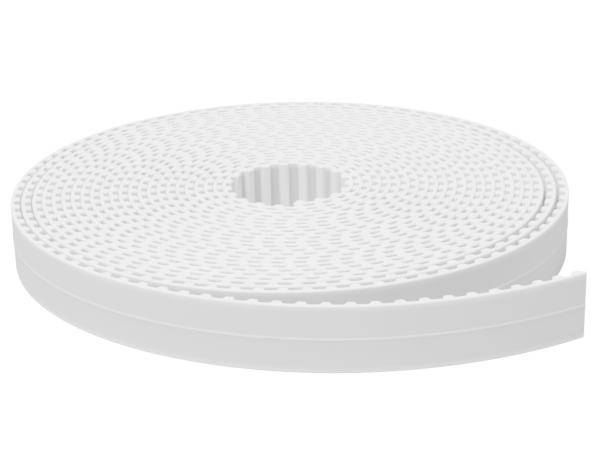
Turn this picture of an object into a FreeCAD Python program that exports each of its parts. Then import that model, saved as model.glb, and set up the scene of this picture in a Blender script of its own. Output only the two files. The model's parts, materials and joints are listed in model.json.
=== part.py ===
import FreeCAD, Part
import math
import os
import Sketcher
from FreeCAD import Placement, Rotation, Vector

# An open-ended polyurethane timing belt, wound into a flat coil that lies on its edge.
# The teeth face the middle of the coil, and the outer end of the belt peels off as a free tail.
# Millimetres, +Z up. The origin is the middle of the coil's eye, on the surface it lies on.

DRIVING_SIZES = [
    # tooth profile, with trapezoidal teeth at a 10 mm pitch
    ("tooth_pitch", 10.0),
    ("tooth_height", 2.5),
    ("tooth_base_width", 5.3),
    ("flank_angle", 20.0),
    # belt section: from the cord line to the smooth back, and from it to the floor between teeth
    ("belt_width", 30.0),
    ("cord_to_back", 0.9),
    ("cord_to_floor", 1.0),
    # steel tension cords, side by side across the width
    ("cord_diameter", 0.9),
    ("cord_spacing", 1.8),
    ("cord_count", 16),
    # the wound part, measured on the cord line
    ("turns", 23),
    ("first_radius", 28.7),
    ("turn_gap", 0.06),
    ("inner_end_lift", 0.8),
    ("loose_turns", 2),
    ("slack_through_front", 0.72),
    ("slack_through_back", 0.28),
    # the tail leaves the coil this far past its left side, and opens out in three arcs
    ("tail_start_angle", 33.0),
    ("tail_first_radius", 150.0),
    ("tail_first_length", 60.0),
    ("tail_middle_radius", 165.0),
    ("tail_middle_length", 120.0),
    ("tail_last_radius", 185.0),
    ("tail_last_length", 80.0),
    # links of the free tail: one tooth each, hinged where the belt is thinnest
    ("link_count", 16),
    ("end_stub", 3.2),
    ("hinge_gap", 0.05),
    ("hinge_relief", 8.0),
    ("cord_end_gap", 0.12),
]

doc = FreeCAD.newDocument("timing_belt")


def fill_sheet():
    """The spreadsheet with every driving size, one alias to a row."""
    sheet = doc.addObject("Spreadsheet::Sheet", "Sizes")
    for row, (alias, value) in enumerate(DRIVING_SIZES, start=1):
        sheet.set(f"A{row}", alias)
        sheet.set(f"B{row}", str(value))
        sheet.setAlias(f"B{row}", alias)
    doc.recompute()
    return sheet


sheet = fill_sheet()


def size(alias):
    return float(sheet.get(alias))


# ---------------------------------------------------------------- the cord line of the whole belt


class BeltPath:
    """The cord line seen from above: tangent arcs from the inner cut end to the outer one."""

    def __init__(self):
        self.arcs = []
        self.length = 0.0

    def add_arc(self, centre, radius, start, sweep):
        self.arcs.append((centre, radius, start, sweep, self.length))
        self.length += radius * sweep

    def extend(self, radius, sweep):
        """One more arc, tangent to the last: its centre moves along the shared radius."""
        centre, last_radius, start, last_sweep, _ = self.arcs[-1]
        joint = start + last_sweep
        outward = Vector(math.cos(joint), math.sin(joint), 0)
        self.add_arc(centre + outward * (last_radius - radius), radius, joint, sweep)

    def arc_at(self, distance):
        for arc in self.arcs:
            if distance <= arc[4] + arc[1] * arc[3]:
                return arc
        return self.arcs[-1]

    def radius_at(self, distance):
        return self.arc_at(distance)[1]

    def frame(self, distance):
        """The point on the cord line, the direction towards the outer end, and the inward one."""
        centre, radius, start, _, begins = self.arc_at(distance)
        angle = start + (distance - begins) / radius
        outward = Vector(math.cos(angle), math.sin(angle), 0)
        along = Vector(-math.sin(angle), math.cos(angle), 0)
        return centre + outward * radius, along, outward * -1

    def point(self, distance, inward_offset=0.0):
        place, _, inward = self.frame(distance)
        return place + inward * inward_offset

    def edges(self, first, last, inward_offset=0.0):
        """The arcs of a line that runs beside the cord line, between two distances along it."""
        stops = [first]
        stops += [arc[4] for arc in self.arcs if first + 1e-6 < arc[4] < last - 1e-6]
        stops.append(last)
        made = []
        for begin, end in zip(stops, stops[1:]):
            middle = (begin + end) / 2
            ends = [self.point(d, inward_offset) for d in (begin + 1e-9, middle, end - 1e-9)]
            made.append(ends)
        for before, after in zip(made, made[1:]):
            after[0] = before[2]
        return [Part.Arc(*ends).toShape() for ends in made]


belt_thickness = size("cord_to_back") + size("cord_to_floor") + size("tooth_height")
quarter_turn = math.pi / 2


def wind_belt():
    """Quarter-turn arcs, each a little larger than the last, then the three arcs of the tail."""
    growth = (belt_thickness + size("turn_gap")) / 4
    turns = int(size("turns"))
    radius = size("first_radius")
    path = BeltPath()
    # the eye's middle is the middle of the small square that the arcs' centres go round
    centre = Vector(growth / 2, growth / 2, 0)
    lift = size("inner_end_lift")
    # the inner end, at the front, springs inwards a little off the turn around it
    path.add_arc(centre + Vector(lift, 0, 0), radius - lift, -quarter_turn, quarter_turn)
    for quarter in range(1, 4 * turns):
        radius += growth
        if quarter == 1:
            path.add_arc(centre - Vector(growth, 0, 0), radius, 0.0, quarter_turn)
            continue
        turn, side = divmod(quarter, 4)
        # the outer turns lie loose: each half turn opens a little more than the belt is thick
        if side == 3 and turns - 1 - size("loose_turns") <= turn < turns - 1:
            radius += size("slack_through_front")
        if side == 1 and turn >= turns - size("loose_turns"):
            radius += size("slack_through_back")
        sweep = quarter_turn
        if quarter == 4 * turns - 1:
            sweep = math.radians(size("tail_start_angle"))
        path.extend(radius, sweep)
    for stretch in ("tail_first", "tail_middle"):
        radius = size(stretch + "_radius")
        path.extend(radius, size(stretch + "_length") / radius)
    # the last arc ends where the belt has a whole number of teeth between two equal stubs
    stubs = 2 * size("end_stub")
    nominal = path.length + size("tail_last_length")
    tooth_gaps = round((nominal - stubs) / size("tooth_pitch"))
    radius = size("tail_last_radius")
    path.extend(radius, (tooth_gaps * size("tooth_pitch") + stubs - path.length) / radius)
    return path, tooth_gaps + 1


path, tooth_count = wind_belt()
link_count = int(size("link_count"))
# teeth that stay in the coil's own solid, and the hinge lines in the gullets after them
coil_teeth = tooth_count - link_count


def tooth_centre(index):
    return size("end_stub") + index * size("tooth_pitch")


def hinge_distance(index):
    """How far along the belt the hinge line is that link number index + 1 turns about."""
    return tooth_centre(coil_teeth + index) - size("tooth_pitch") / 2


# ---------------------------------------------------------------- the wound belt


def tooth_edges(centre_distance):
    """The two flanks and the tip of one tooth, and where its feet meet the floor."""
    floor = size("cord_to_floor")
    radius = path.radius_at(centre_distance)
    # the floor is shorter than the cord line where the belt is bent
    foot = size("tooth_base_width") / 2 * radius / (radius - floor)
    height = size("tooth_height")
    tip = size("tooth_base_width") / 2 - height * math.tan(math.radians(size("flank_angle")))
    place, along, inward = path.frame(centre_distance)
    top = place + inward * (floor + height)
    first, last = centre_distance - foot, centre_distance + foot
    corners = [path.point(first, floor), top - along * tip, top + along * tip, path.point(last, floor)]
    lines = [Part.LineSegment(a, b).toShape() for a, b in zip(corners, corners[1:])]
    return lines, first, last


def turn_cuts():
    """Where the coil's turns are told apart: its two ends, and the gullet nearest each full turn."""
    pitch = size("tooth_pitch")
    cuts = [0.0]
    for turn in range(1, int(size("turns"))):
        full = path.arcs[4 * turn][4]
        gullet = round((full - tooth_centre(0)) / pitch - 0.5)
        cuts.append(tooth_centre(gullet) + pitch / 2)
    return cuts + [hinge_distance(0) - size("hinge_gap")]


def turn_outline(first, last, is_outer):
    """The closed outline of one turn from above: back, outer end, toothed side, inner end."""
    floor, back = size("cord_to_floor"), -size("cord_to_back")
    relief = math.tan(math.radians(size("hinge_relief"))) if is_outer else 0.0
    back_end, floor_end = last + back * relief, last - floor * relief
    toothed = []
    reached = first
    for index in range(coil_teeth):
        if first < tooth_centre(index) < last:
            lines, foot, other_foot = tooth_edges(tooth_centre(index))
            toothed += path.edges(reached, foot, floor) + lines
            reached = other_foot
    toothed += path.edges(reached, floor_end, floor)
    outer_end = [path.point(back_end, back), path.point(last), path.point(floor_end, floor)]
    if not is_outer:
        outer_end.pop(1)
    closing = [Part.LineSegment(a, b).toShape() for a, b in zip(outer_end, outer_end[1:])]
    inner_end = Part.LineSegment(path.point(first, floor), path.point(first, back)).toShape()
    return path.edges(first, back_end, back) + closing + toothed[::-1] + [inner_end]


def make_coil():
    """The wound belt as one solid, whose broad edges are divided turn by turn."""
    height = Vector(0, 0, size("belt_width"))
    middle = (size("cord_to_floor") - size("cord_to_back")) / 2
    cuts = turn_cuts()
    inner_cuts = [path.point(cut, middle) + height / 2 for cut in cuts[1:-1]]
    faces = []
    for first, last in zip(cuts, cuts[1:]):
        outline = turn_outline(first, last, last == cuts[-1])
        turn = Part.Face(Part.Wire(Part.__sortEdges__(outline))).extrude(height)
        for face in turn.Faces:
            centre = face.CenterOfMass
            if all(centre.distanceToPoint(cut) > 0.01 for cut in inner_cuts):
                faces.append(face)
    shell = Part.makeShell(faces)
    shell.sewShape()
    belt = doc.addObject("Part::Feature", "belt_coil")
    belt.Shape = Part.makeSolid(shell)
    belt.Label = "belt_coil"
    belt.Placement = Placement()
    return belt


# ---------------------------------------------------------------- the steel cords of the wound part


def first_cord_height():
    return (size("belt_width") - (size("cord_count") - 1) * size("cord_spacing")) / 2


def cord_solid(first, last):
    """One cord along the cord line: six faces for each arc, closed by two flat ends."""
    radius = size("cord_diameter") / 2

    def section(distance):
        """The outline of six strands laid round a seventh, square to the cord line."""
        place, _, inward = path.frame(distance)
        up = Vector(0, 0, 1)
        turns = [math.radians(60 * step) for step in range(7)]
        corners = [place + (up * math.sin(turn) + inward * math.cos(turn)) * radius for turn in turns]
        return Part.Face(Part.makePolygon(corners))

    end = section(first + 1e-9)
    faces = [end]
    for centre, arc_radius, _, sweep, begins in path.arcs:
        if begins >= last:
            break
        stop = min(last, begins + arc_radius * sweep)
        turned = end.revolve(centre, Vector(0, 0, 1), math.degrees((stop - begins) / arc_radius))
        end = section(stop - 1e-9)
        faces += [face for face in turned.Faces if not is_section(face)]
    faces.append(end)
    shell = Part.makeShell(faces)
    shell.sewShape()
    return Part.makeSolid(shell)


def is_section(face):
    """A flat face that stands upright across the cord."""
    return isinstance(face.Surface, Part.Plane) and abs(face.normalAt(0, 0).z) < 0.5


def make_coil_cords():
    solid = cord_solid(0.0, hinge_distance(0) - size("cord_end_gap"))
    cords = []
    for index in range(int(size("cord_count"))):
        name = f"coil_cord_{index + 1:02d}"
        cord = doc.addObject("Part::Feature", name)
        cord.Shape = solid.copy()
        cord.Label = name
        cord.Placement = Placement(Vector(0, 0, first_cord_height()), Rotation())
        first = "(Sizes.belt_width - (Sizes.cord_count - 1) * Sizes.cord_spacing) / 2"
        cord.setExpression("Placement.Base.z", f"{first} + {index} * Sizes.cord_spacing")
        cords.append(cord)
    return cords


# ---------------------------------------------------------------- the links of the free tail


def origin_plane(body, role):
    return next(f for f in body.Origin.OriginFeatures if f.Role == role)


def add_sketch(body, name, role):
    sketch = body.newObject("Sketcher::SketchObject", name)
    sketch.AttachmentSupport = [(origin_plane(body, role), "")]
    sketch.MapMode = "FlatFace"
    return sketch


def link_corners(cut_end):
    """The side profile of a link as (x expression, y expression) pairs, inner hinge at 0, 0."""
    half = "Sizes.tooth_pitch / 2"
    relief = "tan(Sizes.hinge_relief * 1deg)"
    back, floor = "-Sizes.cord_to_back", "Sizes.cord_to_floor"
    tip = "(Sizes.tooth_base_width / 2 - Sizes.tooth_height * tan(Sizes.flank_angle * 1deg))"
    back_inset = f"(Sizes.hinge_gap + Sizes.cord_to_back * {relief})"
    floor_inset = f"(Sizes.hinge_gap + Sizes.cord_to_floor * {relief})"
    top = "Sizes.cord_to_floor + Sizes.tooth_height"
    if cut_end:
        far = f"{half} + Sizes.end_stub"
        far_end = [(far, back), (far, floor)]
    else:
        far_end = [
            (f"Sizes.tooth_pitch - {back_inset}", back),
            ("Sizes.tooth_pitch - Sizes.hinge_gap", None),
            (f"Sizes.tooth_pitch - {floor_inset}", floor),
        ]
    tooth = [
        (f"{half} + Sizes.tooth_base_width / 2", floor),
        (f"{half} + {tip}", top),
        (f"{half} - {tip}", top),
        (f"{half} - Sizes.tooth_base_width / 2", floor),
    ]
    near_end = [(floor_inset, floor), ("Sizes.hinge_gap", None), (back_inset, back)]
    return far_end + tooth + near_end


def link_values(cut_end):
    """The same corners as plain numbers, as the sketch's first guess."""
    pitch, floor, back = size("tooth_pitch"), size("cord_to_floor"), -size("cord_to_back")
    relief = math.tan(math.radians(size("hinge_relief")))
    gap, base = size("hinge_gap"), size("tooth_base_width") / 2
    tip = base - size("tooth_height") * math.tan(math.radians(size("flank_angle")))
    top = floor + size("tooth_height")
    middle = pitch / 2
    far = middle + size("end_stub")
    far_end = [(far, back), (far, floor)]
    if not cut_end:
        far_end = [(pitch - gap + back * relief, back), (pitch - gap, 0), (pitch - gap - floor * relief, floor)]
    tooth = [(middle + base, floor), (middle + tip, top), (middle - tip, top), (middle - base, floor)]
    near_end = [(gap + floor * relief, floor), (gap, 0), (gap - back * relief, back)]
    return far_end + tooth + near_end


def draw_profile(sketch, cut_end):
    """A closed polygon whose every corner is held to the sheet's sizes."""
    corners = [Vector(x, y, 0) for x, y in link_values(cut_end)]
    count = len(corners)
    for index, corner in enumerate(corners):
        sketch.addGeometry(Part.LineSegment(corner, corners[(index + 1) % count]), False)
    for index in range(count):
        sketch.addConstraint(Sketcher.Constraint("Coincident", index, 2, (index + 1) % count, 1))
    for index, (across, up) in enumerate(link_corners(cut_end)):
        corner = corners[index]
        held = sketch.addConstraint(Sketcher.Constraint("DistanceX", -1, 1, index, 1, corner.x))
        sketch.setExpression(f"Constraints[{held}]", f"({across}) * 1mm")
        if up is None:
            sketch.addConstraint(Sketcher.Constraint("PointOnObject", index, 1, -1))
        elif corner.y < 0:
            held = sketch.addConstraint(Sketcher.Constraint("DistanceY", index, 1, -1, 1, -corner.y))
            sketch.setExpression(f"Constraints[{held}]", f"({up[1:]}) * 1mm")
        else:
            held = sketch.addConstraint(Sketcher.Constraint("DistanceY", -1, 1, index, 1, corner.y))
            sketch.setExpression(f"Constraints[{held}]", f"({up}) * 1mm")


def draw_cord_circle(sketch):
    """The lowest cord's circle, on the cord line."""
    height = first_cord_height()
    circle = Part.Circle(Vector(0, height, 0), Vector(0, 0, 1), size("cord_diameter") / 2)
    sketch.addGeometry(circle, False)
    sketch.addConstraint(Sketcher.Constraint("PointOnObject", 0, 3, -2))
    held = sketch.addConstraint(Sketcher.Constraint("DistanceY", -1, 1, 0, 3, height))
    first = "(Sizes.belt_width - (Sizes.cord_count - 1) * Sizes.cord_spacing) / 2"
    sketch.setExpression(f"Constraints[{held}]", f"{first} * 1mm")
    held = sketch.addConstraint(Sketcher.Constraint("Diameter", 0, size("cord_diameter")))
    sketch.setExpression(f"Constraints[{held}]", "Sizes.cord_diameter * 1mm")


def repeat_across_width(body, feature, sketch, name):
    """The feature once for each cord, up the width of the belt."""
    pattern = body.newObject("PartDesign::LinearPattern", name)
    pattern.Originals = [feature]
    pattern.Direction = (sketch, ["V_Axis"])
    pattern.setExpression("Length", "(Sizes.cord_count - 1) * Sizes.cord_spacing * 1mm")
    pattern.setExpression("Occurrences", "Sizes.cord_count")
    body.Tip = pattern
    return pattern


def link_placement(number):
    """From the hinge that the link turns about, towards the next one along the tail."""
    here = path.point(hinge_distance(number - 1))
    beyond = path.point(hinge_distance(number))
    heading = math.degrees(math.atan2(beyond.y - here.y, beyond.x - here.x))
    return Placement(here, Rotation(Vector(0, 0, 1), heading))


def make_link(number):
    """One tooth of the tail, with a bore for each cord."""
    name = f"tail_link_{number:02d}"
    body = doc.addObject("PartDesign::Body", name)
    body.Label = name
    profile = add_sketch(body, f"{name}_profile", "XY_Plane")
    draw_profile(profile, number == link_count)
    pad = body.newObject("PartDesign::Pad", f"{name}_pad")
    pad.Profile = profile
    pad.setExpression("Length", "Sizes.belt_width * 1mm")
    doc.recompute()
    solid_volume = pad.Shape.Volume
    bore_sketch = add_sketch(body, f"{name}_bore_sketch", "YZ_Plane")
    draw_cord_circle(bore_sketch)
    bore = body.newObject("PartDesign::Pocket", f"{name}_bore")
    bore.Profile = bore_sketch
    bore.Type = "ThroughAll"
    bore.Reversed = True
    repeat_across_width(body, bore, bore_sketch, f"{name}_bores")
    doc.recompute()
    if body.Shape.Volume > solid_volume - 1:
        raise RuntimeError(f"{name} has no bores")
    body.Placement = link_placement(number)
    return body


def make_link_cords(number):
    """The pieces of all the cords that lie in one link, a group of separate solids."""
    name = f"tail_cords_{number:02d}"
    body = doc.addObject("PartDesign::Body", name)
    body.Label = name
    body.AllowCompound = True
    circle = add_sketch(body, f"{name}_sketch", "YZ_Plane")
    draw_cord_circle(circle)
    circle.setExpression("AttachmentOffset.Base.z", "Sizes.cord_end_gap * 1mm")
    cord = body.newObject("PartDesign::Pad", f"{name}_pad")
    cord.Profile = circle
    reach = "Sizes.tooth_pitch - 2 * Sizes.cord_end_gap"
    if number == link_count:
        reach = "Sizes.tooth_pitch / 2 + Sizes.end_stub - Sizes.cord_end_gap"
    cord.setExpression("Length", f"({reach}) * 1mm")
    repeat_across_width(body, cord, circle, f"{name}_all")
    body.Placement = link_placement(number)
    return body


# ---------------------------------------------------------------- make, check and write


def check_objects(sub_parts):
    doc.recompute()
    for item in doc.Objects:
        if "Invalid" in item.State or "Error" in item.State:
            raise RuntimeError(f"{item.Label} failed: {item.State}")
    for part in sub_parts:
        if part.Shape.isNull() or not part.Shape.isValid():
            raise RuntimeError(f"{part.Label} has no valid shape")
        if not part.Shape.Solids:
            raise RuntimeError(f"{part.Label} has no solid")


def main():
    sub_parts = [make_coil()] + make_coil_cords()
    for number in range(1, link_count + 1):
        sub_parts += [make_link(number), make_link_cords(number)]
    check_objects(sub_parts)
    os.makedirs("parts", exist_ok=True)
    for part in sub_parts:
        part.Shape.exportStep(f"parts/{part.Label}.step")
    end = path.point(path.length)
    print(f"belt {path.length:.1f} mm long, {tooth_count} teeth, tail ends at {end.x:.1f}, {end.y:.1f}")


main()
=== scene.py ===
"""An open-ended polyurethane timing belt, wound flat on its edge with its outer end free.

The CAD frame gives the place of every part. This script gives the belt its moulded teeth, rounded rims,
the low ridge along its back, steel wire ends and finishes, and puts it on a pale studio floor.
"""

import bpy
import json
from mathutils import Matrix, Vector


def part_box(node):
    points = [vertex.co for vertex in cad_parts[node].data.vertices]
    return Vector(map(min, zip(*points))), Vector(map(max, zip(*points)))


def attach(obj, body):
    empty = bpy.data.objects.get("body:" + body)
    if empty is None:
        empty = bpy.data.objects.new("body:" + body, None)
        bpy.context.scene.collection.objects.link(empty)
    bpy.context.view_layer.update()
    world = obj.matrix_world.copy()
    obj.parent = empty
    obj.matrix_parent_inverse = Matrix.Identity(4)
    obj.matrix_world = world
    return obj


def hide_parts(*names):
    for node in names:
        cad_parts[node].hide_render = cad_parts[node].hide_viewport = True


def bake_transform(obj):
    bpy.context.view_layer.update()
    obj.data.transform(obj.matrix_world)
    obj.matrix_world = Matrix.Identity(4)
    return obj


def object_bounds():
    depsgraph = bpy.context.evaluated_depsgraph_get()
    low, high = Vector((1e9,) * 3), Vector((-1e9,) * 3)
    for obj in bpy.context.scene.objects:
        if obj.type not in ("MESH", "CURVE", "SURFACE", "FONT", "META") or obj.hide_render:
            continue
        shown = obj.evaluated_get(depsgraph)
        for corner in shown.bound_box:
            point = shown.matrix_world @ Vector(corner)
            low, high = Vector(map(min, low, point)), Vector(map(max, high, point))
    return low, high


bl_info = {
    "name": "Wound Timing Belt",
    "version": (1, 0, 0),
    "blender": (4, 5, 0),
    "location": "3D View > Sidebar > Timing Belt",
    "description": "Builds the visible parts of a wound timing belt around its CAD frame",
    "category": "Object",
}

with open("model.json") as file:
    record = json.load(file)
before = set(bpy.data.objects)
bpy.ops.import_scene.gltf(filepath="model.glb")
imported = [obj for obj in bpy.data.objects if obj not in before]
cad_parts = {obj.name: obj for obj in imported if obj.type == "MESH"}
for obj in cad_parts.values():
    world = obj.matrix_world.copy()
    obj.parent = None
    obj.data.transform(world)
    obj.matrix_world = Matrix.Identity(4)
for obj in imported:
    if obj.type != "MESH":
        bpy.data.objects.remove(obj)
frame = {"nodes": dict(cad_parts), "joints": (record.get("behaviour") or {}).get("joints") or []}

import json
import math

import bmesh
import bpy
from bpy.props import FloatProperty, FloatVectorProperty, IntProperty, PointerProperty
from bpy.types import Operator, Panel, PropertyGroup
from mathutils import Matrix, Vector

CAD_BOX = [list(corner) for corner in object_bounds()]
JOINTS = frame["joints"]
NODES = frame["nodes"]
LINKS = len(JOINTS)
BELT_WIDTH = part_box("belt_coil")[1].z
UP = Vector((0.0, 0.0, 1.0))


# ------------------------------------------------------------------------------------- settings


def length(name, description, default):
    return FloatProperty(name=name, description=description, default=default, unit="LENGTH", precision=5)


def angle(name, description, degrees):
    return FloatProperty(name=name, description=description, default=math.radians(degrees), subtype="ANGLE")


def colour(name, description, default):
    return FloatVectorProperty(
        name=name, description=description, default=default, size=3, min=0.0, max=1.0, subtype="COLOR"
    )


class BeltSection(PropertyGroup):
    """The belt's profile, from which every tooth is made."""

    pitch: length("Pitch", "Distance between teeth on the cord line", 0.010)
    tooth_height: length("Tooth height", "From the floor between teeth to a tooth's tip", 0.0025)
    tooth_base: length("Tooth base", "Width of a tooth at its foot", 0.0053)
    flank: angle("Flank", "How far a flank leans from square", 20.0)
    fillet: length("Fillet", "Radius at the tips and roots of the teeth", 0.0008)
    cord_to_back: length("Cord to back", "From the cord line to the smooth back", 0.0009)
    cord_to_floor: length("Cord to floor", "From the cord line to the floor between teeth", 0.0010)
    rim: length("Rim", "Rounding of the two long edges", 0.0008)
    ridge_width: length("Ridge width", "Width of the low ridge along the middle of the back", 0.003)
    ridge_height: length("Ridge height", "How far that ridge stands out", 0.00022)
    end_stub: length("End stub", "From the last tooth's middle to the cut end", 0.0032)


class BeltWinding(PropertyGroup):
    """The coil's shape on the cord line, from the inner end to the outer one."""

    turns: IntProperty(name="Turns", description="Turns in the coil", default=23, min=2)
    first_radius: length("First radius", "Radius of the innermost quarter turn", 0.0287)
    turn_gap: length("Turn gap", "Air between two tight turns", 0.00006)
    inner_lift: length("Inner lift", "How far the inner end springs off the next turn", 0.0008)
    loose_turns: IntProperty(name="Loose turns", description="Outer turns that lie loose", default=2, min=0)
    slack_front: length("Front slack", "Growth of a loose turn through the front", 0.00072)
    slack_back: length("Back slack", "Growth of a loose turn through the back", 0.00028)
    tail_start: angle("Tail start", "How far past its left side the belt leaves the coil", 33.0)


class CordSizes(PropertyGroup):
    """The steel tension cords."""

    count: IntProperty(name="Count", description="Cords across the width", default=16, min=1)
    spacing: length("Spacing", "Distance between neighbouring cords", 0.0018)
    diameter: length("Diameter", "Diameter of one cord", 0.0009)
    proud: length("Proud", "How far the cut wires stand out of the end face", 0.00006)


class BeltFinish(PropertyGroup):
    """Colours of the belt and of the floor it lies on."""

    thick: colour("Teeth", "Polyurethane where it is thick", (0.89, 0.89, 0.895))
    # Web: partly the grey of the cords under the polyurethane, partly painted shade, darkest on the gullet
    # floors.
    thin_and_shaded: colour("Web", "Polyurethane where the cords show grey through it", (0.48, 0.475, 0.485))
    # Share of that grey on the back: partly cord grey, partly painted shade.
    back_grey_and_shade: FloatProperty(
        name="Back cover",
        description="How much of that grey shows through the back",
        default=0.56,
        subtype="FACTOR",
    )
    slit_edge: colour("Slit edge", "The two long cut edges", (0.90, 0.90, 0.905))
    steel: colour("Steel", "Tension cords", (0.56, 0.56, 0.57))
    floor: colour("Floor", "Studio floor, as it reflects light onto the belt", (0.34, 0.34, 0.34))


class StageSettings(PropertyGroup):
    """Camera and lights."""

    lens: FloatProperty(name="Lens", description="Focal length", default=99.87, unit="CAMERA")
    place: FloatVectorProperty(
        name="Place",
        description="Where the camera stands",
        default=(0.0027, -0.7449, 0.2997),
        subtype="XYZ",
    )
    pitch: angle("Pitch", "How far the camera looks down", 21.81)
    yaw: angle("Yaw", "How far it looks to the right", 0.10)
    roll: angle("Roll", "How far it leans", -1.25)
    floor_radius: length("Floor radius", "Radius of the studio floor", 3.0)
    sky: FloatProperty(name="Sky", description="Brightness of the room around the belt", default=1.05)
    overhead: FloatProperty(name="Overhead", description="Power of the soft box above", default=195.0)
    side: FloatProperty(name="Side", description="Power of the soft box at the left", default=15.0)
    glow: FloatProperty(name="Floor glow", description="Brightness of the floor in view", default=16.0)


def settings():
    return bpy.context.scene.timing_belt


class BeltSettings(PropertyGroup):
    """Everything that a user would change."""

    section: PointerProperty(type=BeltSection)
    winding: PointerProperty(type=BeltWinding)
    cords: PointerProperty(type=CordSizes)
    finish: PointerProperty(type=BeltFinish)
    stage: PointerProperty(type=StageSettings)


# ----------------------------------------------------------------------------- the line it follows

TAIL_ARCS = ((0.150, 0.060), (0.165, 0.120), (0.185, 0.080))  # radius and length of each
QUARTER = math.pi / 2
STEP = 1 / 1024  # a power of two, so that thousands of steps add up without rounding
SPARE_STEPS = 4  # steps that the curve object runs on past each end
SAME_PLACE = 1e-5  # points nearer than this are one point


class CordLine:
    """The belt's cord line from above, in tangent arcs, worked out as the CAD part winds it."""

    def __init__(self, section, winding):
        thickness = section.cord_to_back + section.cord_to_floor + section.tooth_height
        growth = (thickness + winding.turn_gap) / 4
        radius = winding.first_radius
        centre = Vector((growth / 2, growth / 2, 0.0))
        lift = winding.inner_lift
        self.arcs = []
        self.length = 0.0
        self.add(centre + Vector((lift, 0.0, 0.0)), radius - lift, -QUARTER, QUARTER)
        for quarter in range(1, 4 * winding.turns):
            radius += growth
            if quarter == 1:
                self.add(centre - Vector((growth, 0.0, 0.0)), radius, 0.0, QUARTER)
                continue
            turn, side = divmod(quarter, 4)
            if side == 3 and winding.turns - 1 - winding.loose_turns <= turn < winding.turns - 1:
                radius += winding.slack_front
            if side == 1 and turn >= winding.turns - winding.loose_turns:
                radius += winding.slack_back
            last = quarter == 4 * winding.turns - 1
            self.extend(radius, winding.tail_start if last else QUARTER)
        for radius, reach in TAIL_ARCS[:-1]:
            self.extend(radius, reach / radius)
        radius, reach = TAIL_ARCS[-1]
        stubs = 2 * section.end_stub
        gaps = round((self.length + reach - stubs) / section.pitch)
        self.extend(radius, (gaps * section.pitch + stubs - self.length) / radius)
        self.teeth = gaps + 1

    def add(self, centre, radius, start, sweep):
        self.arcs.append((centre, radius, start, sweep, self.length))
        self.length += radius * sweep

    def extend(self, radius, sweep):
        centre, last_radius, start, last_sweep, _ = self.arcs[-1]
        joint = start + last_sweep
        outward = Vector((math.cos(joint), math.sin(joint), 0.0))
        self.add(centre + outward * (last_radius - radius), radius, joint, sweep)

    def frame(self, distance):
        """The point, the direction along the belt and the inward direction at a distance."""
        arc = next((a for a in self.arcs if distance <= a[4] + a[1] * a[3]), self.arcs[-1])
        centre, radius, start, _, begins = arc
        turned = start + (distance - begins) / radius
        outward = Vector((math.cos(turned), math.sin(turned), 0.0))
        return centre + outward * radius, Vector((-outward.y, outward.x, 0.0)), -outward

    def curve_object(self):
        """The same line as a curve object that runs on past both ends, and how far it does."""
        spare = SPARE_STEPS * STEP
        count = math.ceil((self.length + 2 * spare) / STEP)
        data = bpy.data.curves.new("cord_line", "CURVE")
        data.dimensions = "3D"
        spline = data.splines.new("POLY")
        spline.points.add(count)
        for index, point in enumerate(spline.points):
            point.co = (*self.beyond(index * STEP - spare), 1.0)
        made = bpy.data.objects.new("cord_line", data)
        bpy.context.scene.collection.objects.link(made)
        return made, spare

    def beyond(self, distance):
        """A point on the line, or on its straight continuation past an end."""
        held = min(max(distance, 0.0), self.length)
        place, along, _ = self.frame(held)
        return place + along * (distance - held)


def tooth_at(section, index):
    return section.end_stub + index * section.pitch


# --------------------------------------------------------------------------------- plain helpers


def link_object(name, data):
    made = bpy.data.objects.new(name, data)
    bpy.context.scene.collection.objects.link(made)
    return made


def mesh_object(name, vertices, faces):
    data = bpy.data.meshes.new(name)
    data.from_pydata(vertices, [], faces)
    data.update()
    return link_object(name, data)


def drop(*objects):
    """Removes helper objects and their data."""
    for helper in objects:
        data = helper.data
        bpy.data.objects.remove(helper, do_unlink=True)
        if isinstance(data, bpy.types.Mesh):
            bpy.data.meshes.remove(data)
        elif isinstance(data, bpy.types.Curve):
            bpy.data.curves.remove(data)


# ----------------------------------------------------------------------------- one tooth's profile

ARC_STEPS = 4  # along each fillet of a tooth
RIM_STEPS = 3  # round each rim
FLOOR_STEPS = 4  # along a gullet's floor, so that it can bend
# the ridge's outline as shares of its width and height: steep above, shallow below
RIDGE = ((0.3, 0.0), (0.15, 0.6), (0.0, 1.0), (-0.25, 0.6), (-0.7, 0.0))


class Profile:
    """Half a tooth from its middle to the floor beside it, as points with outward directions."""

    def __init__(self, section):
        self.section = section
        self.tip = section.cord_to_floor + section.tooth_height
        half_base = section.tooth_base / 2
        half_tip = half_base - section.tooth_height * math.tan(section.flank)
        turn = QUARTER - section.flank
        reach = section.fillet * math.tan(turn / 2)
        tip_middle = (half_tip - reach, self.tip - section.fillet)
        root_middle = (half_base + reach, section.cord_to_floor + section.fillet)
        self.half = [(0.0, self.tip, 0.0, 1.0)]
        for step in range(ARC_STEPS + 1):
            a = QUARTER - turn * step / ARC_STEPS
            self.half.append(self.on_arc(tip_middle, a, 1.0))
        for step in range(ARC_STEPS + 1):
            a = math.pi + section.flank + turn * step / ARC_STEPS
            self.half.append(self.on_arc(root_middle, a, -1.0))

    def on_arc(self, middle, a, side):
        out = (math.cos(a), math.sin(a))
        radius = self.section.fillet
        return middle[0] + radius * out[0], middle[1] + radius * out[1], side * out[0], side * out[1]

    def gullet(self):
        """From one tooth's middle to the next one's, with the gullet between."""
        pitch = self.section.pitch
        start = self.half[-1][0]
        floor = [
            (start + (pitch - 2 * start) * step / FLOOR_STEPS, self.section.cord_to_floor, 0.0, 1.0)
            for step in range(1, FLOOR_STEPS)
        ]
        return self.half + floor + [(pitch - x, y, -nx, ny) for x, y, nx, ny in reversed(self.half)]

    def stub(self, reach, side):
        """From a tooth's middle to a cut end at reach, on the side of the tooth given by side."""
        kept = [point for point in self.half if point[0] < reach - SAME_PLACE]
        points = kept + [(reach, self.section.cord_to_floor, 0.0, 1.0)]
        if side > 0:
            return points
        return [(-x, y, -nx, ny) for x, y, nx, ny in reversed(points)]


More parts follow.
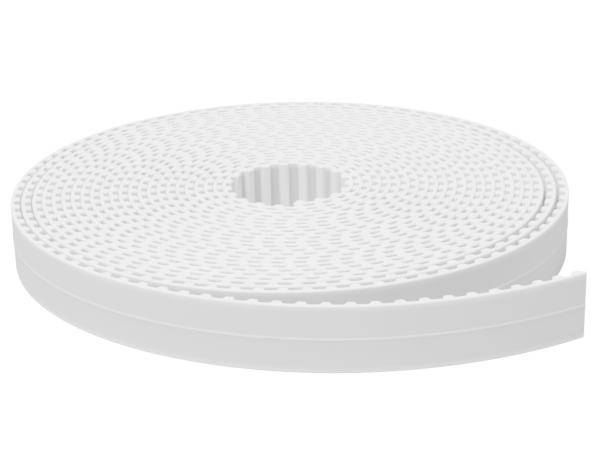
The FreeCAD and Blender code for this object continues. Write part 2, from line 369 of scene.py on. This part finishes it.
def cell_object(name, section, profile, ridged):
    """Sweeps the belt's cross section through a profile. x runs along the belt, y towards the teeth."""
    rim = section.rim
    back = -section.cord_to_back
    quarter = [
        (rim * (1 - math.cos(a)), rim * (1 - math.sin(a)))
        for a in (QUARTER * step / RIM_STEPS for step in range(RIM_STEPS, -1, -1))
    ]
    rows = quarter + [(inset, BELT_WIDTH - height) for inset, height in reversed(quarter)]
    ridge = []
    if ridged:
        for share, rise in RIDGE:
            height = BELT_WIDTH / 2 + section.ridge_width * share
            ridge.append((back - section.ridge_height * rise, height))
    vertices = []
    for x, y, nx, ny in profile:
        vertices += [(x - nx * inset, y - ny * inset, z) for inset, z in rows]
        down = [(x, back + inset, z) for inset, z in reversed(rows)]
        half = len(down) // 2
        vertices += down[:half] + [(x, y_ridge, z) for y_ridge, z in ridge] + down[half:]
    ring = len(vertices) // len(profile)
    faces = []
    for column in range(len(profile) - 1):
        for row in range(ring):
            after = (row + 1) % ring
            here, there = column * ring, (column + 1) * ring
            faces.append((here + row, here + after, there + after, there + row))
    return mesh_object(name, vertices, faces)


# --------------------------------------------------------------------------- winding tree

TREE_NAME = "wind_along_cord_line"
UV_NAME = "belt_uv"
DEPTH_NAME = "tooth_depth"  # 0 on a gullet's floor, 1 and more in a tooth
BACK_DEPTH = -1.0  # the back and its rims are below this
SIDE_LIMIT = 0.1  # faces that lean less than this are the belt's sides, and are shaded smooth
EDGE_LIMIT = 0.6  # faces that look up or down more than this are the slit edges


class Nodes:
    """Adds nodes to a tree, so that a tree reads like a list of steps."""

    def __init__(self, tree):
        self.tree = tree

    def add(self, kind, values=(), **settings):
        made = self.tree.nodes.new(kind)
        for name, value in settings.items():
            setattr(made, name, value)
        for socket, value in dict(values).items():
            self.feed(made.inputs[socket], value)
        return made

    def feed(self, socket, value):
        if isinstance(value, bpy.types.NodeSocket):
            self.tree.links.new(value, socket)
        else:
            socket.default_value = value

    def math(self, operation, *values):
        return self.add("ShaderNodeMath", dict(enumerate(values)), operation=operation).outputs[0]

    def vector(self, operation, *values):
        made = self.add("ShaderNodeVectorMath", dict(enumerate(values)), operation=operation)
        return made.outputs[0]

    def scaled(self, vector, factor):
        return self.add(
            "ShaderNodeVectorMath", {0: vector, "Scale": factor}, operation="SCALE"
        ).outputs[0]


def socket_in(tree, name, kind, default=None):
    made = tree.interface.new_socket(name, in_out="INPUT", socket_type=kind)
    if default is not None:
        made.default_value = default


def winding_tree():
    """Repeats a cell along x, then bends the row round the cord line, leaving each tooth its shape."""
    if TREE_NAME in bpy.data.node_groups:
        return bpy.data.node_groups[TREE_NAME]
    tree = bpy.data.node_groups.new(TREE_NAME, "GeometryNodeTree")
    for name, kind in (
        ("Cell", "NodeSocketObject"),
        ("Cord line", "NodeSocketObject"),
        ("Count", "NodeSocketInt"),
        ("First", "NodeSocketFloat"),
        ("Pitch", "NodeSocketFloat"),
        ("End stub", "NodeSocketFloat"),
        ("Floor", "NodeSocketFloat"),
        ("Stiff above", "NodeSocketFloat"),
        ("Spare", "NodeSocketFloat"),
        ("Moulded", "NodeSocketMaterial"),
        ("Slit", "NodeSocketMaterial"),
    ):
        socket_in(tree, name, kind)
    tree.interface.new_socket("Geometry", in_out="OUTPUT", socket_type="NodeSocketGeometry")
    n = Nodes(tree)
    given = n.add("NodeGroupInput").outputs

    first = n.add("ShaderNodeCombineXYZ", {"X": given["First"]}).outputs[0]
    stride = n.add("ShaderNodeCombineXYZ", {"X": given["Pitch"]}).outputs[0]
    row = n.add(
        "GeometryNodeMeshLine", {"Count": given["Count"], "Start Location": first, "Offset": stride}
    )
    cell = n.add("GeometryNodeObjectInfo", {"Object": given["Cell"]})
    repeated = n.add(
        "GeometryNodeInstanceOnPoints", {"Points": row.outputs[0], "Instance": cell.outputs["Geometry"]}
    )
    laid = n.add("GeometryNodeRealizeInstances", {"Geometry": repeated.outputs[0]})
    joined = n.add("GeometryNodeMergeByDistance", {"Geometry": laid.outputs[0], "Distance": SAME_PLACE})

    place = n.add("GeometryNodeInputPosition").outputs[0]
    split = n.add("ShaderNodeSeparateXYZ", {0: place}).outputs
    along, inward, up = split["X"], split["Y"], split["Z"]
    chart = n.add("ShaderNodeCombineXYZ", {"X": along, "Y": n.math("ADD", inward, up)}).outputs[0]
    charted = n.add(
        "GeometryNodeStoreNamedAttribute",
        {"Geometry": joined.outputs[0], "Name": UV_NAME, "Value": chart},
        data_type="FLOAT2",
        domain="CORNER",
    )

    body = n.math("SUBTRACT", inward, given["Floor"])
    depth = n.math("DIVIDE", body, n.math("SUBTRACT", given["Stiff above"], given["Floor"]))
    measured = n.add(
        "GeometryNodeStoreNamedAttribute",
        {"Geometry": charted.outputs[0], "Name": DEPTH_NAME, "Value": depth},
        data_type="FLOAT",
        domain="POINT",
    )

    line = n.add("GeometryNodeObjectInfo", {"Object": given["Cord line"]}).outputs["Geometry"]
    z_axis = n.add("ShaderNodeCombineXYZ", {"Z": 1.0}).outputs[0]

    def station(distance):
        """The line's point, its direction and its inward direction at a distance."""
        sample = n.add(
            "GeometryNodeSampleCurve",
            {"Curves": line, "Length": n.math("ADD", distance, given["Spare"])},
            mode="LENGTH",
        )
        ahead = n.vector("NORMALIZE", sample.outputs["Tangent"])
        return sample.outputs["Position"], ahead, n.vector("CROSS_PRODUCT", z_axis, ahead)

    point, _, left = station(along)
    curved = n.vector("ADD", point, n.scaled(left, inward))

    counted = n.math("DIVIDE", n.math("SUBTRACT", along, given["End stub"]), given["Pitch"])
    nearest = n.math("MULTIPLY", n.math("ROUND", counted), given["Pitch"])
    middle = n.math("ADD", nearest, given["End stub"])
    point, ahead, left = station(middle)
    beside = n.scaled(ahead, n.math("SUBTRACT", along, middle))
    stiff = n.vector("ADD", n.vector("ADD", point, beside), n.scaled(left, inward))

    share = n.add(
        "ShaderNodeMapRange",
        {"Value": inward, "From Min": given["Floor"], "From Max": given["Stiff above"]},
        interpolation_type="SMOOTHSTEP",
    ).outputs[0]
    mixed = n.vector(
        "ADD", n.scaled(curved, n.math("SUBTRACT", 1.0, share)), n.scaled(stiff, share)
    )
    raised = n.vector("ADD", mixed, n.scaled(z_axis, up))
    bent = n.add("GeometryNodeSetPosition", {"Geometry": measured.outputs[0], "Position": raised})

    normal = n.add("GeometryNodeInputNormal").outputs[0]
    lean = n.math("ABSOLUTE", n.add("ShaderNodeSeparateXYZ", {0: normal}).outputs["Z"])
    flat = n.add("GeometryNodeSetShadeSmooth", {"Geometry": bent.outputs[0], "Shade Smooth": False})
    smooth = n.add(
        "GeometryNodeSetShadeSmooth",
        {
            "Geometry": flat.outputs[0],
            "Selection": n.math("LESS_THAN", lean, SIDE_LIMIT),
            "Shade Smooth": True,
        },
    )
    whole = n.add("GeometryNodeRealizeInstances", {"Geometry": smooth.outputs[0]})
    moulded = n.add(
        "GeometryNodeSetMaterial", {"Geometry": whole.outputs[0], "Material": given["Moulded"]}
    )
    slit = n.add(
        "GeometryNodeSetMaterial",
        {
            "Geometry": moulded.outputs[0],
            "Selection": n.math("GREATER_THAN", lean, EDGE_LIMIT),
            "Material": given["Slit"],
        },
    )
    n.add("NodeGroupOutput", {"Geometry": slit.outputs[0]})
    return tree


class Winder:
    """Makes lengths of belt that follow the cord line."""

    def __init__(self):
        chosen = settings()
        self.section = chosen.section
        self.line = CordLine(chosen.section, chosen.winding)
        self.curve, self.spare = self.line.curve_object()
        self.materials = polyurethane(), slit_edge()

    def stretch(self, name, cell, first, count):
        """A closed piece of belt of count cells, the first starting at a distance along the line."""
        made = link_object(name, bpy.data.meshes.new(name))
        wind = made.modifiers.new("wind", "NODES")
        wind.node_group = winding_tree()
        section = self.section
        values = {
            "Cell": cell,
            "Cord line": self.curve,
            "Count": count,
            "First": first,
            "Pitch": section.pitch,
            "End stub": section.end_stub,
            "Floor": section.cord_to_floor,
            "Stiff above": section.cord_to_floor + section.fillet,
            "Spare": self.spare,
            "Moulded": self.materials[0],
            "Slit": self.materials[1],
        }
        for item in wind.node_group.interface.items_tree:
            if item.in_out == "INPUT":
                wind[item.identifier] = values[item.name]
        graph = bpy.context.evaluated_depsgraph_get()
        wound = bpy.data.meshes.new_from_object(made.evaluated_get(graph), depsgraph=graph)
        made.modifiers.remove(wind)
        blank, made.data = made.data, wound
        bpy.data.meshes.remove(blank)
        wound.name = name
        close_ends(wound)
        return made


def close_ends(mesh):
    """Fills the open section at each end, charts it, and checks that the shell faces outwards."""
    shell = bmesh.new()
    shell.from_mesh(mesh)
    chart = shell.loops.layers.uv[UV_NAME]
    border = [edge for edge in shell.edges if edge.is_boundary]
    ends = bmesh.ops.holes_fill(shell, edges=border, sides=0)["faces"]
    if len(ends) != 2:
        raise RuntimeError(f"{mesh.name} should have two open ends, and has {len(ends)}")
    bmesh.ops.recalc_face_normals(shell, faces=shell.faces[:])
    for face in ends:
        face.smooth = False
        face.material_index = 0
        corner = face.loops[0].vert.co.copy()
        for loop in face.loops:
            loop[chart].uv = ((loop.vert.co - corner).xy.length, loop.vert.co.z)
    if shell.calc_volume(signed=True) < 0:
        bmesh.ops.reverse_faces(shell, faces=shell.faces[:])
    for edge in shell.edges:
        edge.smooth = all(face.smooth for face in edge.link_faces)
    shell.to_mesh(mesh)
    shell.free()


# ------------------------------------------------------------------------------------- finishes

SCUFF_DRAG = 0.12  # how much a scuff is stretched along the belt
SCUFF_SIZE = 4.0  # how many times finer than the grain a scuff is across the belt
SCUFF_ABOVE = 0.7  # of the noise, so that scuffs are few
SCUFF_DEPTH = 0.25
STREAK_DRAG = 0.03  # how much a knife's streak is stretched along the belt
STREAK_SHARE = 0.4  # of the tone, beside the soft patches
BUMP_STRENGTH = 0.6
CORDS_BEGIN = 0.0003  # from a rim, where the painted grey, partly cord grey and partly painted shade, begins to show
CORDS_FULL = 0.0035  # from a rim, where it shows fully
PLASTIC_IOR = 1.5


def surface_group(name, fine, build):
    """A shader group that turns a chart into a tone and a height, both from 0 to 1."""
    if name in bpy.data.node_groups:
        return bpy.data.node_groups[name]
    tree = bpy.data.node_groups.new(name, "ShaderNodeTree")
    socket_in(tree, "Chart", "NodeSocketVector")
    socket_in(tree, "Patch size", "NodeSocketFloat", 0.03)
    socket_in(tree, "Grain size", "NodeSocketFloat", fine)
    for output in ("Tone", "Height"):
        tree.interface.new_socket(output, in_out="OUTPUT", socket_type="NodeSocketFloat")
    n = Nodes(tree)
    given = n.add("NodeGroupInput").outputs
    tone, height = build(n, given["Chart"], given["Patch size"], given["Grain size"])
    n.add("NodeGroupOutput", {"Tone": tone, "Height": height})
    return tree


def noise(n, vector, scale, detail=2.0):
    values = {"Vector": vector, "Scale": scale, "Detail": detail}
    return n.add("ShaderNodeTexNoise", values).outputs["Fac"]


def moulded_group():
    """Cast polyurethane: broad soft patches, a fine skin, and a few scuffs."""

    def build(n, chart, patch, grain):
        patches = noise(n, chart, n.math("DIVIDE", 1.0, patch), 3.0)
        skin = noise(n, chart, n.math("DIVIDE", 1.0, grain), 2.0)
        dragged = n.vector("MULTIPLY", chart, (SCUFF_DRAG, 1.0, 1.0))
        scuffs = noise(n, dragged, n.math("DIVIDE", SCUFF_SIZE, grain), 1.0)
        scuffs = n.math("MULTIPLY", n.math("GREATER_THAN", scuffs, SCUFF_ABOVE), SCUFF_DEPTH)
        return patches, n.math("SUBTRACT", skin, scuffs)

    return surface_group("moulded_surface", 0.0006, build)


def knife_group():
    """A slit edge: streaks that the knife leaves along the belt, over soft patches."""

    def build(n, chart, patch, grain):
        patches = noise(n, chart, n.math("DIVIDE", 1.0, patch), 3.0)
        dragged = n.vector("MULTIPLY", chart, (STREAK_DRAG, 1.0, 1.0))
        streaks = noise(n, dragged, n.math("DIVIDE", 1.0, grain), 3.0)
        broad = n.math("MULTIPLY", patches, 1 - STREAK_SHARE)
        return n.math("ADD", broad, n.math("MULTIPLY", streaks, STREAK_SHARE)), streaks

    return surface_group("knife_streaks", 0.0004, build)


def new_material(name):
    """A material with an empty tree, its node helper, its shader and its Base Color's first colour."""
    made = bpy.data.materials.new(name)
    made.use_nodes = True
    made.node_tree.nodes.clear()
    n = Nodes(made.node_tree)
    shader = n.add("ShaderNodeBsdfPrincipled")
    n.add("ShaderNodeOutputMaterial", {"Surface": shader.outputs[0]})
    return made, n, shader


def mixed_colour(n, factor, low, high):
    mix = n.add("ShaderNodeMix", data_type="RGBA", clamp_factor=True)
    for socket, value in zip(("Factor", 6, 7), (factor, low, high)):
        n.feed(mix.inputs[socket], value)
    return mix.outputs[2]


def between(n, tone, darker, base):
    """The colour between a base and a slightly darker one."""
    dark = [darker * part for part in base]
    return mixed_colour(n, tone, (*dark, 1.0), (*base, 1.0))


def spread(n, tone, low, high):
    return n.add("ShaderNodeMapRange", {"Value": tone, "To Min": low, "To Max": high}).outputs[0]


def bump(n, height, depth):
    values = {"Height": height, "Distance": depth, "Strength": BUMP_STRENGTH}
    return n.add("ShaderNodeBump", values).outputs[0]


def cord_grey_and_shade(n, chart):
    """How much grey shows: partly the grey of the cords under the web, partly painted shade in the gullets
    and on the back; most in a gullet, less on the back, none in a tooth or by the rims.
    """
    section = settings().section
    depth = n.add("ShaderNodeAttribute", attribute_name=DEPTH_NAME).outputs["Fac"]
    inward = n.math("ADD", n.math("MULTIPLY", depth, section.fillet), section.cord_to_floor)
    up = n.math("SUBTRACT", n.add("ShaderNodeSeparateXYZ", {0: chart}).outputs["Y"], inward)
    margin = n.math("MINIMUM", up, n.math("SUBTRACT", BELT_WIDTH, up))
    inside = n.add(
        "ShaderNodeMapRange",
        {"Value": margin, "From Min": CORDS_BEGIN, "From Max": CORDS_FULL},
        interpolation_type="SMOOTHSTEP",
    ).outputs[0]
    # full grey on a gullet's floor and on the back, none in a tooth: cord grey and painted shade together
    thin_and_shaded = spread(n, depth, 1.0, 0.0)
    is_back = n.math("LESS_THAN", depth, BACK_DEPTH)
    share = n.math("ADD", 1.0, n.math("MULTIPLY", is_back, settings().finish.back_grey_and_shade - 1))
    return n.math("MULTIPLY", n.math("MULTIPLY", inside, thin_and_shaded), share)


def belt_material(name, colours, group, darker, roughness, depth, patch):
    """A finish from one colour, or from two: where the belt is thick, and the web's grey, partly cord grey
    and partly painted shade.
    """
    if name in bpy.data.materials:
        return bpy.data.materials[name]
    made, n, shader = new_material(name)
    chart = n.add("ShaderNodeUVMap", uv_map=UV_NAME).outputs[0]
    surface = n.add("ShaderNodeGroup", node_tree=group)
    n.feed(surface.inputs["Chart"], chart)
    surface.inputs["Patch size"].default_value = patch
    tone, height = surface.outputs["Tone"], surface.outputs["Height"]
    shades = [between(n, tone, darker, base) for base in colours]
    # the second colour paints cord grey and shade into the gullets and onto the back
    shade = mixed_colour(n, cord_grey_and_shade(n, chart), *shades) if len(shades) == 2 else shades[0]
    n.feed(shader.inputs["Base Color"], shade)
    n.feed(shader.inputs["Roughness"], spread(n, tone, *roughness))
    n.feed(shader.inputs["Normal"], bump(n, height, depth))
    shader.inputs["IOR"].default_value = PLASTIC_IOR
    return made


def polyurethane():
    """Satin white moulded polyurethane, on the back and the teeth, with painted shade in the gullets and on
    the back.
    """
    finish = settings().finish
    return belt_material(
        "moulded_polyurethane",
        (finish.thick, finish.thin_and_shaded),
        moulded_group(),
        darker=0.91,
        roughness=(0.40, 0.50),
        depth=4e-6,
        patch=0.03,
    )


def slit_edge():
    """Polyurethane cut with a knife, a little brighter and more matt than the moulded sides."""
    finish = settings().finish
    return belt_material(
        "slit_polyurethane",
        (finish.slit_edge,),
        knife_group(),
        darker=0.82,
        roughness=(0.50, 0.62),
        depth=6e-6,
        patch=0.02,
    )


LAY_SCALE = 900.0  # bands of a strand's twist to the metre, as the wave texture counts them
TARNISH_SCALE = 350.0


def steel_strand():
    """Twisted steel wire: a fine lay across the cord, with painted shade between the wires and a painted
    highlight on their crowns, over random tarnish.
    """
    name = "steel_strand"
    if name in bpy.data.materials:
        return bpy.data.materials[name]
    made, n, shader = new_material(name)
    place = n.add("ShaderNodeTexCoord").outputs["Object"]
    twist = n.add(
        "ShaderNodeTexWave",
        {"Vector": place, "Scale": LAY_SCALE, "Distortion": 1.5, "Detail": 1.0},
        bands_direction="DIAGONAL",
    ).outputs["Fac"]
    tarnish = noise(n, place, TARNISH_SCALE)
    # painted shade between the wires and painted highlight on their crowns, mixed with random tarnish
    shade = n.math("MULTIPLY", n.math("ADD", twist, tarnish), 0.5)
    n.feed(shader.inputs["Base Color"], between(n, shade, 0.72, settings().finish.steel))
    n.feed(shader.inputs["Roughness"], spread(n, tarnish, low=0.28, high=0.42))
    n.feed(shader.inputs["Normal"], bump(n, twist, depth=3e-5))
    shader.inputs["Metallic"].default_value = 1.0
    return made


# ------------------------------------------------------------------------------------ operators


class BeltOperator:
    bl_options = {"REGISTER", "UNDO"}


def gullet_cell(ridged):
    section = settings().section
    name = "ridged_cell" if ridged else "plain_cell"
    return cell_object(name, section, Profile(section).gullet(), ridged)


def coil_teeth(winder):
    """How many teeth lie in the coil: the rest each have a link of the tail."""
    return winder.line.teeth - LINKS


COIL_PIECES = 4  # below the outermost turn, which is a piece of its own
RIDGED_TEETH = 88  # a little more than the outermost turn, which alone shows its back


class TIMINGBELT_OT_turns(BeltOperator, Operator):
    """Wind the coil's turns, in lengths that meet at the middle of a tooth"""

    bl_idname = "timing_belt.turns"
    bl_label = "Coil Turns"

    def execute(self, context):
        winder = Winder()
        section = winder.section
        plain, ridged = gullet_cell(False), gullet_cell(True)
        last = coil_teeth(winder) - 1
        splits = [round((last - RIDGED_TEETH) * part / COIL_PIECES) for part in range(COIL_PIECES + 1)]
        splits.append(last)
        for number, (start, end) in enumerate(zip(splits, splits[1:]), 1):
            cell = ridged if end == last else plain
            name = "outer_turn" if end == last else f"coil_turns_{number}"
            turns = winder.stretch(name, cell, tooth_at(section, start), end - start)
            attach(turns, "coil")
            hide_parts("belt_coil")
        drop(plain, ridged, winder.curve)
        return {"FINISHED"}


class TIMINGBELT_OT_tail(BeltOperator, Operator):
    """Make the free tail: a gullet at each hinge, wound along the cord line between half teeth that keep
    their shape
    """

    bl_idname = "timing_belt.tail"
    bl_label = "Free Tail"

    def execute(self, context):
        winder = Winder()
        section = winder.section
        ridged = gullet_cell(True)
        first = coil_teeth(winder) - 1
        half_tooth = section.tooth_base / 2
        for number in range(LINKS):
            starts = tooth_at(section, first + number)
            gullet = winder.stretch(f"tail_gullet_{number + 1:02d}", ridged, starts, 1)
            bend_from, _, _ = winder.line.frame(starts + half_tooth)
            bend_to, _, _ = winder.line.frame(starts + section.pitch - half_tooth)
            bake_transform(gullet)
            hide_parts(f"tail_link_{number + 1:02d}")
        drop(ridged, winder.curve)
        return {"FINISHED"}


END_COVER = 0.00002  # how far the skin at a cut end covers the cords, so that only their wires show


class TIMINGBELT_OT_cut_ends(BeltOperator, Operator):
    """Make the half tooth at each cut end"""

    bl_idname = "timing_belt.cut_ends"
    bl_label = "Cut Ends"

    def execute(self, context):
        winder = Winder()
        section = winder.section
        profile = Profile(section)
        reach = section.end_stub + END_COVER
        inner = cell_object("inner_stub_cell", section, profile.stub(reach, -1), False)
        outer = cell_object("outer_stub_cell", section, profile.stub(reach, 1), True)
        first, last = tooth_at(section, 0), tooth_at(section, winder.line.teeth - 1)
        inner_end = winder.stretch("inner_cut_end", inner, first, 1)
        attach(inner_end, "coil")
        outer_end = winder.stretch("outer_cut_end", outer, last, 1)
        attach(outer_end, JOINTS[-1]["child"])
        drop(inner, outer, winder.curve)
        return {"FINISHED"}


WIRE_SIDES = 8
WIRES_AROUND = 6  # round the middle one, so that a cord is three wires across
# each ring of a wire, as shares of how far it stands out and of its radius
WIRE_RINGS = ((-1.0, 1.0), (0.7, 1.0), (1.0, 0.75))


def wire_ends(name, winder, distance, outwards):
    """The cut wires of every cord at one end of the belt: a middle wire with six round it."""
    section, cords = winder.section, settings().cords
    place, along, inward = winder.line.frame(distance)
    out = along * outwards
    wire = cords.diameter / 6  # a wire's radius
    span = cords.spacing * (cords.count - 1)
    vertices, faces = [], []
    lay = [Vector((0.0, 0.0))]
    for number in range(WIRES_AROUND):
        a = math.tau * number / WIRES_AROUND
        lay.append(Vector((math.cos(a), math.sin(a))) * 2 * wire)
    for cord in range(cords.count):
        height = (BELT_WIDTH - span) / 2 + cords.spacing * cord
        heart = place + UP * height + out * END_COVER
        for offset in lay:
            base = len(vertices)
            for rise, size in WIRE_RINGS:
                for side in range(WIRE_SIDES):
                    a = math.tau * side / WIRE_SIDES
                    y = offset.x + wire * size * math.cos(a)
                    z = offset.y + wire * size * math.sin(a)
                    vertices.append(heart + inward * y + UP * z + out * cords.proud * rise)
            for level in range(len(WIRE_RINGS) - 1):
                for side in range(WIRE_SIDES):
                    after = (side + 1) % WIRE_SIDES
                    low, high = base + level * WIRE_SIDES, base + (level + 1) * WIRE_SIDES
                    faces.append((low + side, low + after, high + after, high + side))
            for ring in (0, len(WIRE_RINGS) - 1):
                faces.append(tuple(base + ring * WIRE_SIDES + side for side in range(WIRE_SIDES)))
    made = mesh_object(name, vertices, faces)
    shell = bmesh.new()
    shell.from_mesh(made.data)
    bmesh.ops.recalc_face_normals(shell, faces=shell.faces[:])
    shell.to_mesh(made.data)
    shell.free()
    made.data.materials.append(steel_strand())
    return made


class TIMINGBELT_OT_wire_ends(BeltOperator, Operator):
    """Make the cut wires of the cords at both ends of the belt"""

    bl_idname = "timing_belt.wire_ends"
    bl_label = "Wire Ends"

    def execute(self, context):
        winder = Winder()
        inner = wire_ends("inner_wire_ends", winder, 0.0, -1)
        outer = wire_ends("outer_wire_ends", winder, winder.line.length, 1)
        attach(inner, "coil")
        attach(outer, JOINTS[-1]["child"])
        drop(winder.curve)
        return {"FINISHED"}


class TIMINGBELT_OT_cords(BeltOperator, Operator):
    """Give the tension cords inside the belt their steel finish"""

    bl_idname = "timing_belt.cords"
    bl_label = "Tension Cords"

    def execute(self, context):
        steel = steel_strand()
        for name, node in NODES.items():
            if "cord" not in name:
                continue
            for slot in node.material_slots:
                slot.material = steel
            if not node.material_slots:
                raise RuntimeError(f"{name} has no material slot")
        return {"FINISHED"}


SENSOR_WIDTH = 36.0  # millimetres, as the lens is
FLOOR_GAP = 0.00005  # between the belt and the floor
# place and width of each soft box, which aims at the middle of the floor
OVERHEAD_BOX = Vector((-0.25, -0.35, 1.7)), 0.9
SIDE_BOX = Vector((-1.4, -1.2, 0.9)), 1.2


class TIMINGBELT_OT_stage(BeltOperator, Operator):
    """Set the camera, the soft lights and a plain pale floor"""

    bl_idname = "timing_belt.stage"
    bl_label = "Studio"

    def execute(self, context):
        stage = settings().stage
        self.camera(context, stage)
        self.floor(stage)
        self.light("overhead_box", stage.overhead, *OVERHEAD_BOX)
        self.light("side_box", stage.side, *SIDE_BOX)
        self.sky(context, stage)
        return {"FINISHED"}

    def camera(self, context, stage):
        data = bpy.data.cameras.new("studio_camera")
        data.lens, data.sensor_width = stage.lens, SENSOR_WIDTH
        data.clip_start, data.clip_end = 0.01, 20.0
        made = link_object("studio_camera", data)
        ahead = Vector(
            (
                math.sin(stage.yaw) * math.cos(stage.pitch),
                math.cos(stage.yaw) * math.cos(stage.pitch),
                -math.sin(stage.pitch),
            )
        )
        level = Vector((math.cos(stage.yaw), -math.sin(stage.yaw), 0.0))
        over = level.cross(ahead)
        right = level * math.cos(stage.roll) + over * math.sin(stage.roll)
        upright = over * math.cos(stage.roll) - level * math.sin(stage.roll)
        turned = Matrix((right, upright, -ahead)).transposed().to_4x4()
        made.matrix_world = Matrix.Translation(stage.place) @ turned
        context.scene.camera = made

    def floor(self, stage):
        """A wide disc, a hair below the belt."""
        disc = bmesh.new()
        bmesh.ops.create_circle(disc, cap_ends=True, segments=96, radius=stage.floor_radius)
        for vertex in disc.verts:
            vertex.co.z = CAD_BOX[0][2] - FLOOR_GAP
        data = bpy.data.meshes.new("studio_floor")
        disc.to_mesh(data)
        disc.free()
        made = link_object("studio_floor", data)
        paper, n, shader = new_material("studio_paper")
        place = n.add("ShaderNodeTexCoord").outputs["Object"]
        tone = noise(n, place, 2.0)
        n.feed(shader.inputs["Base Color"], between(n, tone, 0.99, settings().finish.floor))
        shader.inputs["Roughness"].default_value = 0.85
        shader.inputs["Emission Color"].default_value = (1.0, 1.0, 1.0, 1.0)
        seen = n.add("ShaderNodeLightPath").outputs["Is Camera Ray"]
        n.feed(shader.inputs["Emission Strength"], n.math("MULTIPLY", seen, stage.glow))
        data.materials.append(paper)

    def light(self, name, power, place, width):
        data = bpy.data.lights.new(name, "AREA")
        data.energy, data.size = power, width
        made = link_object(name, data)
        turned = place.to_track_quat("Z", "Y").to_matrix().to_4x4()
        made.matrix_world = Matrix.Translation(place) @ turned

    def sky(self, context, stage):
        world = bpy.data.worlds.new("studio_room")
        world.use_nodes = True
        backdrop = world.node_tree.nodes["Background"]
        backdrop.inputs["Color"].default_value = (1.0, 1.0, 1.0, 1.0)
        backdrop.inputs["Strength"].default_value = stage.sky
        context.scene.world = world


class TIMINGBELT_PT_panel(Panel):
    """Lists the belt's pieces and sizes"""

    bl_idname = "TIMINGBELT_PT_panel"
    bl_label = "Timing Belt"
    bl_space_type = "VIEW_3D"
    bl_region_type = "UI"
    bl_category = "Timing Belt"

    def draw(self, context):
        belt = context.scene.timing_belt
        for group in (belt.section, belt.winding, belt.cords, belt.finish, belt.stage):
            box = self.layout.box()
            for name in group.__annotations__:
                box.prop(group, name)
        for operator in OPERATORS:
            self.layout.operator(operator.bl_idname)


OPERATORS = (
    TIMINGBELT_OT_stage,
    TIMINGBELT_OT_turns,
    TIMINGBELT_OT_tail,
    TIMINGBELT_OT_cut_ends,
    TIMINGBELT_OT_wire_ends,
    TIMINGBELT_OT_cords,
)
CLASSES = (
    BeltSection,
    BeltWinding,
    CordSizes,
    BeltFinish,
    StageSettings,
    BeltSettings,
    *OPERATORS,
    TIMINGBELT_PT_panel,
)


def register():
    for cls in CLASSES:
        bpy.utils.register_class(cls)
    bpy.types.Scene.timing_belt = PointerProperty(type=BeltSettings)


def unregister():
    del bpy.types.Scene.timing_belt
    for cls in reversed(CLASSES):
        bpy.utils.unregister_class(cls)


def main():
    register()
    for operator in OPERATORS:
        module, name = operator.bl_idname.split(".")
        getattr(getattr(bpy.ops, module), name)()


if __name__ == "__main__":
    main()
